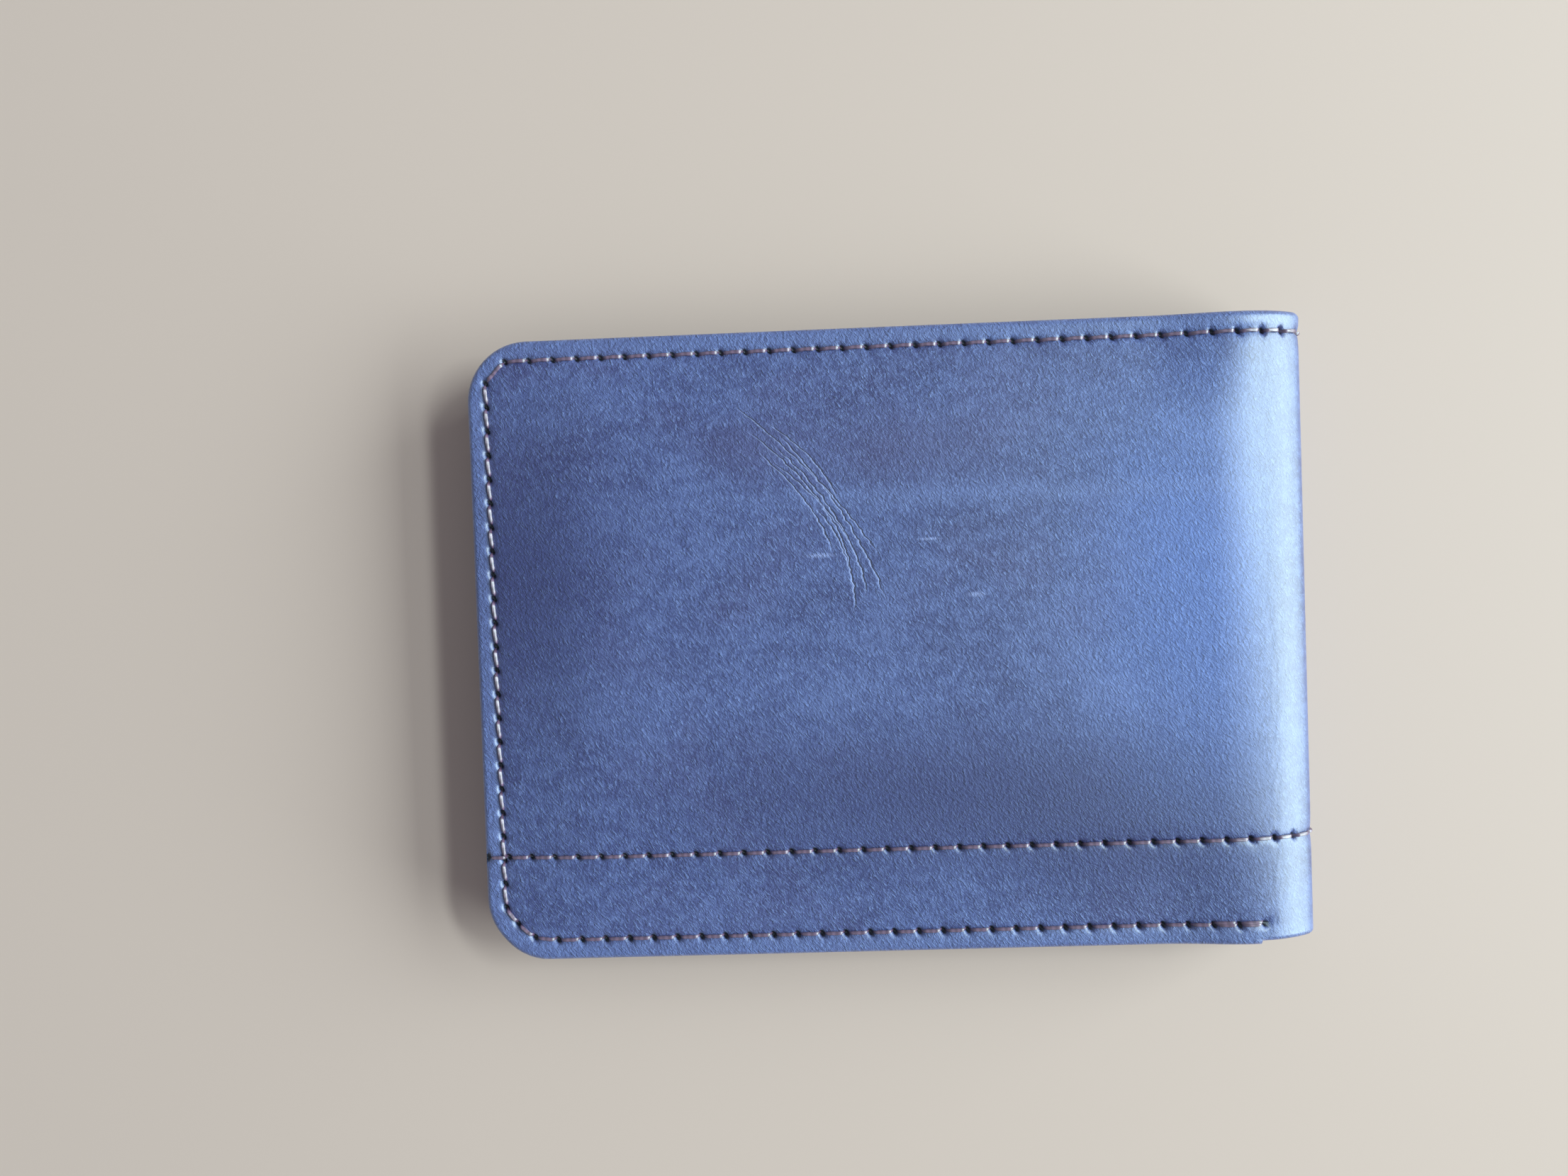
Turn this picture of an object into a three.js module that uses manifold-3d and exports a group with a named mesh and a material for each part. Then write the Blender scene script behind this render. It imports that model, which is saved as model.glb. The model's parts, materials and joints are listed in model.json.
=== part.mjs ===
// Bifold wallet, closed, lying on its lower half. Millimetres, +Z up.
// Origin: centre of the footprint. The fold (spine) is at +X and the free edges are at -X.
// The mouth of the note compartment is the +Y edge.
import * as THREE from "three";
import { mergeVertices } from "three/addons/utils/BufferGeometryUtils.js";
import Module from "manifold-3d";

const wasm = await Module();
wasm.setup();

// Overall size when closed.
const LENGTH = 118;
const HEIGHT = 88;
const THICKNESS = 14;

// The fold: a half round between the two halves, made of leaves that turn on each other.
const SPINE_LEAVES = 5;
const SPINE_RADIUS = THICKNESS / 2;
const SPINE_X = LENGTH / 2 - SPINE_RADIUS;
const LEAF_ANGLE = Math.PI / (SPINE_LEAVES + 1);
const HINGE_DEPTH = 0.6;
const LEAF_LENGTH = 2 * (SPINE_RADIUS - HINGE_DEPTH) * Math.tan(LEAF_ANGLE / 2);
const LEAF_CLEARANCE = 0.05;

// Layers of one half: how far below its outer face each one starts, and how thick it is.
const LAYERS = {
  shell: { depth: 0, thick: 1.2 },
  lining: { depth: 1.3, thick: 0.25 },
  divider: { depth: 1.9, thick: 0.3 },
  backing: { depth: 2.6, thick: 0.4 },
  strip_1: { depth: 3.2, thick: 0.9 },
  strip_2: { depth: 4.4, thick: 0.9 },
  pocket_lining_1: { depth: 3.2, thick: 0.2 },
  pocket_lining_2: { depth: 4.4, thick: 0.2 },
  window_film: { depth: 5.38, thick: 0.14 },
  front: { depth: 5.6, thick: 0.9 },
};

// Edges of the layers.
const FREE_EDGE = -LENGTH / 2;
const BOTTOM_EDGE = -HEIGHT / 2;
const TOP_EDGE = HEIGHT / 2;
const SHELL_BOTTOM = BOTTOM_EDGE + 0.45;
const LINING_INSET = 1;
const DIVIDER_BOTTOM = -29.8;
const DIVIDER_TOP = 40;
const BACKING_TOP = 38;
const PANEL_SPINE_EDGE = 49.9;
const PANEL_INSET = 0.1;
const POCKET_STEP = 12;
const STRIP_HEIGHT = 18;
const FRONT_TOP = BACKING_TOP - 2 * POCKET_STEP;
const CORNER_RADIUS = 8.5;
const SMALL_RADIUS = 1.5;

// The identity window in the upper half's front panel.
const WINDOW = { left: -41, right: 31, bottom: -36, top: 6, radius: 3 };
const FILM_MARGIN = 4;

// Sewing: threads lie in grooves a little below the leather's face.
const THREAD_WIDTH = 0.5;
const THREAD_THICK = 0.3;
const THREAD_SINK = 0.04;
const GROOVE_SIDE = 0.3;
const GROOVE_DEPTH = 0.65;
const SEAM = { left: -56.3, bottom: -41.1, top: 41.2, radius: 6, start: 50.6, end: 53 };
const DIVIDER_SEAM_Y = -29.1;
const DIVIDER_SEAM_INSET = 1.6;
const POCKET_THREAD_MARGIN = 2;

const ARC_STEPS = 6;

const leather = { color: 0x3c4573, roughness: 0.5, metalness: 0 };
const innerLeather = { color: 0x39426c, roughness: 0.55, metalness: 0 };
const fabric = { color: 0x1b1d2a, roughness: 0.9, metalness: 0 };
const threadYarn = { color: 0x3a2530, roughness: 0.6, metalness: 0 };
const film = { color: 0xdfe6ea, roughness: 0.1, metalness: 0, transparent: true, opacity: 0.35 };

const wallet = new THREE.Group();

function addMesh(parent, name, geometry, finish) {
  const mesh = new THREE.Mesh(geometry, new THREE.MeshStandardMaterial(finish));
  mesh.name = name;
  parent.add(mesh);
  return mesh;
}

// A flat sheet's outline: rounded corners at its free (-X) side, square ones at the spine.
function sheetOutline(left, right, bottom, top, lowRadius, highRadius) {
  const shape = new THREE.Shape();
  shape.moveTo(right, top);
  shape.lineTo(right, bottom);
  shape.absarc(left + lowRadius, bottom + lowRadius, lowRadius, -Math.PI / 2, -Math.PI, true);
  shape.absarc(left + highRadius, top - highRadius, highRadius, Math.PI, Math.PI / 2, true);
  shape.closePath();
  return shape;
}

function roundedWindow({ left, right, bottom, top, radius }) {
  const path = new THREE.Path();
  path.absarc(right - radius, bottom + radius, radius, -Math.PI / 2, 0, false);
  path.absarc(right - radius, top - radius, radius, 0, Math.PI / 2, false);
  path.absarc(left + radius, top - radius, radius, Math.PI / 2, Math.PI, false);
  path.absarc(left + radius, bottom + radius, radius, Math.PI, 1.5 * Math.PI, false);
  return path;
}

function extrude(shape, thick) {
  return new THREE.ExtrudeGeometry(shape, {
    depth: thick,
    bevelEnabled: false,
    curveSegments: ARC_STEPS,
  });
}

// Height of a layer's lower face in a half: depths count up from the bottom in the lower
// half and down from the top in the upper one.
function layerBase(half, depth, thick) {
  return half === "lower" ? depth : THICKNESS - depth - thick;
}

// A band of the seam's width along the sewing line, which rounds both free corners.
function seamBand(width) {
  const side = width / 2;
  const middleX = SEAM.left + SEAM.radius;
  const lowY = SEAM.bottom + SEAM.radius;
  const highY = SEAM.top - SEAM.radius;
  const shape = new THREE.Shape();
  shape.moveTo(SEAM.start, SEAM.bottom + side);
  shape.lineTo(SEAM.start, SEAM.bottom - side);
  shape.absarc(middleX, lowY, SEAM.radius + side, -Math.PI / 2, -Math.PI, true);
  shape.absarc(middleX, highY, SEAM.radius + side, Math.PI, Math.PI / 2, true);
  shape.lineTo(SEAM.end, SEAM.top + side);
  shape.lineTo(SEAM.end, SEAM.top - side);
  shape.absarc(middleX, highY, SEAM.radius - side, Math.PI / 2, Math.PI, false);
  shape.absarc(middleX, lowY, SEAM.radius - side, Math.PI, 1.5 * Math.PI, false);
  shape.closePath();
  return shape;
}

// A straight band along X, centred on the line y.
function straightBand(left, right, y, width) {
  const shape = new THREE.Shape();
  shape.moveTo(left, y - width / 2);
  shape.lineTo(right, y - width / 2);
  shape.lineTo(right, y + width / 2);
  shape.lineTo(left, y + width / 2);
  shape.closePath();
  return shape;
}

function toSolid(geometry) {
  const bare = geometry.clone();
  bare.deleteAttribute("normal");
  bare.deleteAttribute("uv");
  const merged = mergeVertices(bare);
  return new wasm.Manifold(
    new wasm.Mesh({
      numProp: 3,
      vertProperties: merged.attributes.position.array,
      triVerts: new Uint32Array(merged.index.array),
    }),
  );
}

function toGeometry(solid) {
  const mesh = solid.getMesh();
  const geometry = new THREE.BufferGeometry();
  geometry.setAttribute("position", new THREE.BufferAttribute(mesh.vertProperties, 3));
  geometry.setIndex(new THREE.BufferAttribute(mesh.triVerts, 1));
  geometry.computeVertexNormals();
  return geometry;
}

// Cuts a groove along each band. The sheet lies from z = 0 to its thickness, and facesDown
// says which of its two faces is grooved.
function cutGrooves(geometry, bands, thick, facesDown) {
  const reach = 1;
  let solid = toSolid(geometry);
  for (const band of bands) {
    const cutter = extrude(band, GROOVE_DEPTH + reach);
    cutter.translate(0, 0, facesDown ? -reach : thick - GROOVE_DEPTH);
    solid = solid.subtract(toSolid(cutter));
  }
  return toGeometry(solid);
}

function addSheet(half, name, layer, outline, finish, bands = []) {
  const { depth, thick } = LAYERS[layer];
  const plain = extrude(outline, thick);
  const outerGrooves = layer === "shell";
  const facesDown = outerGrooves === (half === "lower");
  const geometry = bands.length ? cutGrooves(plain, bands, thick, facesDown) : plain;
  const mesh = addMesh(wallet, name, geometry, finish);
  mesh.position.z = layerBase(half, depth, thick);
}

// A thread whose outer side is just below the face of the layer that it is sewn into.
function addThread(half, name, outline, faceDepth, onInnerFace) {
  const depth = onInnerFace ? faceDepth - THREAD_SINK - THREAD_THICK : faceDepth + THREAD_SINK;
  const mesh = addMesh(wallet, name, extrude(outline, THREAD_THICK), threadYarn);
  mesh.position.z = layerBase(half, depth, THREAD_THICK);
}

// How far a layer may reach from the middle of a leaf before it meets the next leaf.
function leafReach(depth) {
  const folded = Math.max(0, depth - HINGE_DEPTH) * Math.tan(LEAF_ANGLE / 2);
  return LEAF_LENGTH / 2 - folded - LEAF_CLEARANCE;
}

function spineEnd(layer) {
  const { depth, thick } = LAYERS[layer];
  return SPINE_X + leafReach(depth + thick);
}

// The layers that run from one half round the spine to the other, with their edges along Y.
const CROSSING = {
  shell: { finish: leather, bottom: SHELL_BOTTOM, top: TOP_EDGE },
  lining: {
    finish: fabric,
    bottom: SHELL_BOTTOM + LINING_INSET,
    top: TOP_EDGE - LINING_INSET,
  },
  divider: { finish: fabric, bottom: DIVIDER_BOTTOM, top: DIVIDER_TOP },
  backing: { finish: innerLeather, bottom: SHELL_BOTTOM, top: BACKING_TOP },
};

const grooveWidth = THREAD_WIDTH + 2 * GROOVE_SIDE;

function dividerSeamBand(width) {
  const left = SEAM.left + DIVIDER_SEAM_INSET;
  return straightBand(left, SEAM.end, DIVIDER_SEAM_Y, width);
}

function crossingOutline(layer) {
  const { bottom, top } = CROSSING[layer];
  const inset = layer === "lining" || layer === "divider" ? LINING_INSET : 0;
  const lowRadius = layer === "divider" ? SMALL_RADIUS : CORNER_RADIUS - inset;
  const highRadius = layer === "backing" ? SMALL_RADIUS : CORNER_RADIUS - inset;
  const left = FREE_EDGE + inset;
  return sheetOutline(left, spineEnd(layer), bottom, top, lowRadius, highRadius);
}

// One leaf of a layer in the spine: a bar with sloping sides, extruded along Y.
function leafGeometry(layer) {
  const { depth, thick } = LAYERS[layer];
  const { bottom, top } = CROSSING[layer];
  const depths = [depth, depth + thick];
  if (depth < HINGE_DEPTH && depth + thick > HINGE_DEPTH) {
    depths.splice(1, 0, HINGE_DEPTH);
  }
  const shape = new THREE.Shape();
  const right = depths.map((d) => [SPINE_RADIUS - d, leafReach(d)]);
  const left = depths.map((d) => [SPINE_RADIUS - d, -leafReach(d)]).reverse();
  shape.setFromPoints([...right, ...left].map(([x, y]) => new THREE.Vector2(x, y)));
  return extrude(shape, top - bottom);
}

function addSpine() {
  for (let leaf = 1; leaf <= SPINE_LEAVES; leaf += 1) {
    const angle = -Math.PI / 2 + leaf * LEAF_ANGLE;
    const group = new THREE.Group();
    group.position.set(SPINE_X, 0, SPINE_RADIUS);
    group.rotation.y = -angle;
    wallet.add(group);
    for (const [layer, { finish, top }] of Object.entries(CROSSING)) {
      const mesh = addMesh(group, `${layer}_spine_${leaf}`, leafGeometry(layer), finish);
      mesh.rotation.x = Math.PI / 2;
      mesh.position.y = top;
    }
  }
}

// Strip edge number n from the top: n = 0 is the first strip, and n = 2 the front panel.
function pocketEdge(n) {
  return BACKING_TOP - n * POCKET_STEP;
}

function pocketBand(n, width) {
  const y = pocketEdge(n) - POCKET_THREAD_MARGIN;
  return straightBand(SEAM.left + DIVIDER_SEAM_INSET, PANEL_SPINE_EDGE - SMALL_RADIUS, y, width);
}

function addCardPockets(half) {
  const left = FREE_EDGE + PANEL_INSET;
  for (const n of [0, 1]) {
    const top = pocketEdge(n);
    const low = top - STRIP_HEIGHT;
    const strip = sheetOutline(left, PANEL_SPINE_EDGE, low, top, SMALL_RADIUS, SMALL_RADIUS);
    const stripLayer = `strip_${n + 1}`;
    const band = pocketBand(n, grooveWidth);
    addSheet(half, `${half}_card_strip_${n + 1}`, stripLayer, strip, innerLeather, [band]);
    const { depth, thick } = LAYERS[stripLayer];
    const thread = pocketBand(n, THREAD_WIDTH);
    addThread(half, `${half}_strip_thread_${n + 1}`, thread, depth + thick, true);

    const under = sheetOutline(
      left + LINING_INSET,
      PANEL_SPINE_EDGE - LINING_INSET,
      BOTTOM_EDGE + LINING_INSET,
      low - PANEL_INSET,
      CORNER_RADIUS,
      SMALL_RADIUS,
    );
    const liningLayer = `pocket_lining_${n + 1}`;
    addSheet(half, `${half}_card_lining_${n + 1}`, liningLayer, under, fabric);
  }
}

function frontOutline() {
  const left = FREE_EDGE + PANEL_INSET;
  const low = CORNER_RADIUS - PANEL_INSET;
  return sheetOutline(left, PANEL_SPINE_EDGE, BOTTOM_EDGE, FRONT_TOP, low, SMALL_RADIUS);
}

function addFrontThread(half, name) {
  const { depth, thick } = LAYERS.front;
  addThread(half, name, pocketBand(2, THREAD_WIDTH), depth + thick, true);
}

function addFrontPanel() {
  const bands = [pocketBand(2, grooveWidth)];
  addSheet("lower", "front_pocket_panel", "front", frontOutline(), innerLeather, bands);
  addFrontThread("lower", "front_pocket_thread");
}

function addWindowFrame() {
  const outline = frontOutline();
  outline.holes.push(roundedWindow(WINDOW));
  const bands = [pocketBand(2, grooveWidth)];
  addSheet("upper", "id_window_frame", "front", outline, innerLeather, bands);
  addFrontThread("upper", "id_window_thread");
  const filmOutline = sheetOutline(
    WINDOW.left - FILM_MARGIN,
    WINDOW.right + FILM_MARGIN,
    WINDOW.bottom - FILM_MARGIN,
    WINDOW.top + FILM_MARGIN,
    SMALL_RADIUS,
    SMALL_RADIUS,
  );
  addSheet("upper", "id_window_film", "window_film", filmOutline, film);
}

for (const half of ["lower", "upper"]) {
  for (const [layer, { finish }] of Object.entries(CROSSING)) {
    const bands = layer === "shell" ? [seamBand(grooveWidth), dividerSeamBand(grooveWidth)] : [];
    addSheet(half, `${layer}_${half}`, layer, crossingOutline(layer), finish, bands);
  }
  addThread(half, `perimeter_thread_${half}`, seamBand(THREAD_WIDTH), 0, false);
  addThread(half, `divider_thread_${half}`, dividerSeamBand(THREAD_WIDTH), 0, false);
  addCardPockets(half);
}
addSpine();
addFrontPanel();
addWindowFrame();

export default wallet;
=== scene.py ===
import json
import math

import bmesh
import bpy
import numpy as np
from mathutils import Euler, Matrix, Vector
from mathutils.geometry import delaunay_2d_cdt

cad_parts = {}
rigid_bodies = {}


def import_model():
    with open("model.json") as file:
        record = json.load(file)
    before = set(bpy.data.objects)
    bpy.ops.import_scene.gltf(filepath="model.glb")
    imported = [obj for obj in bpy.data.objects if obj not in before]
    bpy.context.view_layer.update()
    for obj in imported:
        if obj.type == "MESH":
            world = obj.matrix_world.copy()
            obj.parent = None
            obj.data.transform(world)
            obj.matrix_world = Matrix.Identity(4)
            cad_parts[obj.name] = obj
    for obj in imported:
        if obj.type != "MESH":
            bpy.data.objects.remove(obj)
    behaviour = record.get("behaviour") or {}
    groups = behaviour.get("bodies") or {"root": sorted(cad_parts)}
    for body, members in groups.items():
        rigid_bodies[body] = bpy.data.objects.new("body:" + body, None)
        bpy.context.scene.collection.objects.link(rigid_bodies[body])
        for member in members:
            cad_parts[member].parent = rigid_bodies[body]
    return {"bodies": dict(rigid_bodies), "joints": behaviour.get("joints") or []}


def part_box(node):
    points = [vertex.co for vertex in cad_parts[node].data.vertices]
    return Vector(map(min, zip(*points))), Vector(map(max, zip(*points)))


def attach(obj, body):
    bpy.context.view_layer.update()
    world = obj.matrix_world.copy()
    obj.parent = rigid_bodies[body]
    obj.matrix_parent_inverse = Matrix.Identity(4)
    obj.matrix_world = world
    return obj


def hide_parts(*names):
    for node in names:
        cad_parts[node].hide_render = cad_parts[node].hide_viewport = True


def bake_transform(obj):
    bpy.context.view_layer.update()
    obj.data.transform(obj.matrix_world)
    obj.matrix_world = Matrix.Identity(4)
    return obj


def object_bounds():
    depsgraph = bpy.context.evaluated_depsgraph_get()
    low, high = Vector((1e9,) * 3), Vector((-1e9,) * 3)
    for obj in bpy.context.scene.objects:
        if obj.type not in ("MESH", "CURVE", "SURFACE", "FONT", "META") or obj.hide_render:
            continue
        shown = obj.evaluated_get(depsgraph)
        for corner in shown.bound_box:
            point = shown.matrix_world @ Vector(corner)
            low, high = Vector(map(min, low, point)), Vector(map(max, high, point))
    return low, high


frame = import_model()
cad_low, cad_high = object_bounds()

# Lengths are in millimetres until a mesh is written. Leather is described unrolled: s runs
# along it from the outermost line of the spine (s > 0 in the upper half, s < 0 in the lower
# one), y runs along the spine, and depth is counted inwards from the outer face.
MM = 0.001


def node_span(name):
    low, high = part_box(name)
    return np.array(low) / MM, np.array(high) / MM


THICKNESS = (cad_high.z - cad_low.z) / MM
RADIUS = THICKNESS / 2
SPINE_X = cad_high.x / MM - RADIUS
FREE_X = cad_low.x / MM
FLAT = SPINE_X - FREE_X
LEAVES = sum(body.startswith("spine_") for body in frame["bodies"])
TURN = math.pi / (LEAVES + 1)
PITCH_RADIUS = RADIUS - frame["joints"][0]["pos_m"][2] / MM
QUARTER = PITCH_RADIUS * math.pi / 2
SHELL_LOW, SHELL_HIGH = node_span("shell_lower")[0][1], node_span("shell_lower")[1][1]
PANEL_LOW = node_span("front_pocket_panel")[0][1]
PANEL_SPINE_OVER = SPINE_X - node_span("front_pocket_panel")[1][0]

CORNER_RADIUS = 8.5
SMALL_RADIUS = 1.5

# ------------------------------------------------------------------ camera, light and floor
# Place in millimetres, turn in degrees, and lens and sensor in millimetres.
CAMERA_PLACE = (-10.76, 11.55, 177.96)
CAMERA_TURN = (-1.303, 1.447, -2.009)
CAMERA_LENS = 27.09
SENSOR_WIDTH = 36.0


def add_camera():
    data = bpy.data.cameras.new("camera")
    data.lens = CAMERA_LENS
    data.sensor_width = SENSOR_WIDTH
    data.clip_start = 0.005
    camera = bpy.data.objects.new("camera", data)
    camera.location = Vector(CAMERA_PLACE) * MM
    camera.rotation_euler = Euler([math.radians(turn) for turn in CAMERA_TURN])
    bpy.context.scene.collection.objects.link(camera)
    bpy.context.scene.camera = camera


def add_area_light(name, toward, size, power):
    """A softbox that stands in the direction toward and faces the wallet."""
    data = bpy.data.lights.new(name, "AREA")
    data.shape = "RECTANGLE"
    data.size, data.size_y = size
    data.energy = power
    data.color = DAYLIGHT
    light = bpy.data.objects.new(name, data)
    direction = Vector(toward).normalized()
    light.location = direction * LIGHT_DISTANCE
    light.rotation_euler = direction.to_track_quat("Z", "Y").to_euler()
    bpy.context.scene.collection.objects.link(light)


WINDOW_TOWARD = (0.78, 0.22, 1.0)
WINDOW_SIZE = (0.56, 0.14)
WINDOW_POWER = 9.0
SIDE_TOWARD = (1.0, 0.02, 0.45)
SIDE_SIZE = (1.7, 0.95)
SIDE_POWER = 44.0
LIGHT_DISTANCE = 1.5
DAYLIGHT = (0.78, 0.99, 1.0)
SKY = (0.8, 0.9, 1.0)
SKY_STRENGTH = 0.31


def add_lights():
    """A small high window, and a wide bright wall past the spine that gives it its shine."""
    add_area_light("window_light", WINDOW_TOWARD, WINDOW_SIZE, WINDOW_POWER)
    add_area_light("side_light", SIDE_TOWARD, SIDE_SIZE, SIDE_POWER)
    world = bpy.data.worlds.new("studio")
    world.use_nodes = True
    background = world.node_tree.nodes["Background"]
    background.inputs["Color"].default_value = (*SKY, 1)
    background.inputs["Strength"].default_value = SKY_STRENGTH
    bpy.context.scene.world = world
    bpy.context.scene.view_settings.view_transform = "Standard"


FLOOR_HALF = 3.0
FLOOR_COLOUR = (0.64, 0.48, 0.42)
FLOOR_ROUGHNESS = 0.75


def add_floor():
    half = FLOOR_HALF
    mesh = bpy.data.meshes.new("floor")
    corners = [(-half, -half, 0), (half, -half, 0), (half, half, 0), (-half, half, 0)]
    mesh.from_pydata(corners, [], [(0, 1, 2, 3)])
    floor = bpy.data.objects.new("floor", mesh)
    bpy.context.scene.collection.objects.link(floor)
    material = bpy.data.materials.new("floor")
    material.use_nodes = True
    shader = material.node_tree.nodes["Principled BSDF"]
    shader.inputs["Base Color"].default_value = (*FLOOR_COLOUR, 1)
    shader.inputs["Roughness"].default_value = FLOOR_ROUGHNESS
    mesh.materials.append(material)


# ------------------------------------------------------------------ shape of the closed wallet
# Arc length from the flat face to the outermost line, and the leather's slope there.
FOLD_ARC = (0.0, 8.1, 13.6, 14.6, 17.8)
FOLD_SLOPE = (0.0, 11.0, 31.0, 60.0, 90.0)
PROFILE_STEPS, PROFILE_SOFT = 600, 15
SPINE_CLEAR = 0.15
OPEN_GAP = 0.45
TAPER = 0.6
PINCH = 1.5
PINCH_WIDTH = 18.0
LOWER_PINCH = 0.8
UNDULATION = 0.12
SEWN_FROM, SEWN_TO = 2.0, 11.0
UNSEWN_INSET, UNSEWN_REACH = 30.0, 12.0
FLAP = 0.35
# Depth of each face in the middle of a half, and where sewing presses it to at the edge:
# below both card strips, beside the lower one and beside both.
LOOSE = (0.0, 1.2, 1.8, 1.9, 2.2, 2.6, 3.0, 3.2, 3.4, 4.1, 4.4, 4.6, 5.3, 5.6, 6.5)
SEWN_LOW = (0.0, 1.2, 1.62, 1.64, 1.7, 1.72, 2.15, 2.2, 2.28, 2.3, 2.32, 2.4, 2.42, 2.45, 3.35)
SEWN_MID = (0.0, 1.2, 1.62, 1.64, 1.7, 1.72, 2.15, 2.2, 2.28, 2.3, 2.35, 2.5, 3.2, 3.25, 4.15)
SEWN_HIGH = (0.0, 1.2, 1.62, 1.64, 1.7, 1.72, 2.15, 2.2, 2.35, 3.0, 3.05, 3.2, 3.9, 3.95, 4.8)
# The same next to the spine, where only the panels are pressed down at the bottom edge.
SEWN_SPINE = (0.0, 1.2, 1.8, 1.9, 2.2, 2.6, 3.0, 3.06, 3.14, 3.16, 3.18, 3.26, 3.28, 3.3, 4.2)
STRIP_BOTTOMS = (node_span("lower_card_strip_2")[0][1], node_span("lower_card_strip_1")[0][1])


def smooth(t):
    t = np.clip(t, 0.0, 1.0)
    return t * t * (3 - 2 * t)


def fold_profile():
    """Drop below the plain half round, against the distance from the spine's outermost line.

    The face slopes gently over the last centimetre and then turns down sharply.
    """
    arc = np.linspace(0, FOLD_ARC[-1], PROFILE_STEPS)
    slope = np.radians(np.interp(arc, FOLD_ARC, FOLD_SLOPE))
    soft = np.ones(2 * PROFILE_SOFT + 1) / (2 * PROFILE_SOFT + 1)
    slope[PROFILE_SOFT:-PROFILE_SOFT] = np.convolve(slope, soft, "valid")
    step = arc[1]
    sink = np.concatenate([[0], np.cumsum(np.sin((slope[1:] + slope[:-1]) / 2)) * step])
    run = np.concatenate([[0], np.cumsum(np.cos((slope[1:] + slope[:-1]) / 2)) * step])
    sink *= RADIUS / sink[-1]
    start = SPINE_X + RADIUS - SPINE_CLEAR - run[-1]
    x, z = start + run, THICKNESS - sink
    angle = np.arctan2(z - RADIUS, x - SPINE_X)
    flat = x < SPINE_X
    s = np.where(flat, QUARTER + SPINE_X - x, angle * PITCH_RADIUS)
    drop = np.where(flat, THICKNESS - z, RADIUS - np.hypot(x - SPINE_X, z - RADIUS))
    return s[::-1], drop[::-1]


FOLD_S, FOLD_DROP = fold_profile()


def over_of(s):
    """Distance beyond the start of the flat part."""
    return np.maximum(np.abs(s) - QUARTER, 0)


def drop(s, y):
    """How far the wallet's outer face is below its greatest thickness.

    It is pinched at the sewn edges, gets a little thinner towards the free edge of the upper
    half and has slow waves there.
    """
    over = over_of(s)
    upper = s > 0
    edges = smooth((FLAT - over) / PINCH_WIDTH)
    edges = edges * smooth((y - SHELL_LOW) / PINCH_WIDTH) * smooth((SHELL_HIGH - y) / PINCH_WIDTH)
    pinch = (1 - edges) * smooth(over / 16) * np.where(upper, PINCH, LOWER_PINCH)
    taper = np.where(upper, TAPER * (over / FLAT) ** 1.4, 0)
    waves = np.sin(over / 16 + 0.8) * np.sin(y / 14 + 0.5) + 0.6 * np.sin(over / 9 - y / 11)
    waves = UNDULATION * (waves + 1.6) / 2 * edges * smooth(over / 20) * upper
    fold = np.interp(np.abs(s), FOLD_S, FOLD_DROP, right=0.0)
    return fold + pinch + taper + waves


def stacked(depth, s, y):
    """Depth of a face once the sewing has pressed the layers together near the edges."""
    over = over_of(s)
    from_bottom = y - SHELL_LOW + UNSEWN_INSET * (1 - smooth(over / UNSEWN_REACH))
    inset = np.minimum(FLAT - over, from_bottom)
    pressed = 1 - smooth((inset - SEWN_FROM) / (SEWN_TO - SEWN_FROM))
    held = 1 - smooth((y - SHELL_LOW - SEWN_FROM) / (SEWN_TO - SEWN_FROM))
    beside_low, beside_high = (smooth((y - bottom + 2.5) / 2.5) for bottom in STRIP_BOTTOMS)

    def pressed_in(face):
        low, mid, high = (np.interp(face, LOOSE, sewn) for sewn in (SEWN_LOW, SEWN_MID, SEWN_HIGH))
        edge = low + (mid - low) * beside_low + (high - mid) * beside_high
        free = face + (np.interp(face, LOOSE, SEWN_SPINE) - face) * held
        return free + (edge - free) * pressed

    room = np.minimum(1, (RADIUS - OPEN_GAP - drop(s, y)) / pressed_in(LOOSE[-1]))
    return pressed_in(depth) * room


def place(s, y, depth):
    """Where points of the unrolled leather are in the closed wallet."""
    turn = np.clip(s / PITCH_RADIUS, -math.pi / 2, math.pi / 2)
    reach = RADIUS - drop(s, y) - stacked(depth, s, y)
    x = SPINE_X - over_of(s) + reach * np.cos(turn)
    z = RADIUS + reach * np.sin(turn)
    return np.stack([x, y, z], axis=-1)


# ------------------------------------------------------------------ sewing lines
STITCH_PITCH = 3.4
seam_low, seam_high = node_span("perimeter_thread_lower")
divider_low, divider_high = node_span("divider_thread_lower")
THREAD_WIDTH = divider_high[1] - divider_low[1]
SEAM_TOP = seam_high[1] - THREAD_WIDTH / 2
SEAM_BOTTOM = seam_low[1] + THREAD_WIDTH / 2
SEAM_FREE = SPINE_X - seam_low[0] - THREAD_WIDTH / 2
DIVIDER_SEAM = (divider_low[1] + divider_high[1]) / 2


def stations(start, end, pitch=STITCH_PITCH):
    """Needle holes from start to end, both included."""
    start, end = np.array(start, float), np.array(end, float)
    count = max(1, round(np.linalg.norm(end - start) / pitch))
    return start + (end - start) * np.linspace(0, 1, count + 1)[:, None]


def perimeter_holes():
    """Needle holes (distance over the flat, y) round one half, from the mouth's spine end.

    One stitch cuts the mouth's corner, and two shorter ones round the other.
    """
    mouth = stations((0, SEAM_TOP), (SEAM_FREE - 2.9, SEAM_TOP))
    free = stations((SEAM_FREE, SEAM_TOP - 2.9), (SEAM_FREE, SEAM_BOTTOM + 4.8))
    low_corner = [(SEAM_FREE - 1.6, SEAM_BOTTOM + 2.4), (SEAM_FREE - 4.0, SEAM_BOTTOM + 0.4)]
    bottom = stations((SEAM_FREE - 7.3, SEAM_BOTTOM), (PANEL_SPINE_OVER - 0.35, SEAM_BOTTOM))
    return np.concatenate([mouth, free, low_corner, bottom])


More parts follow.
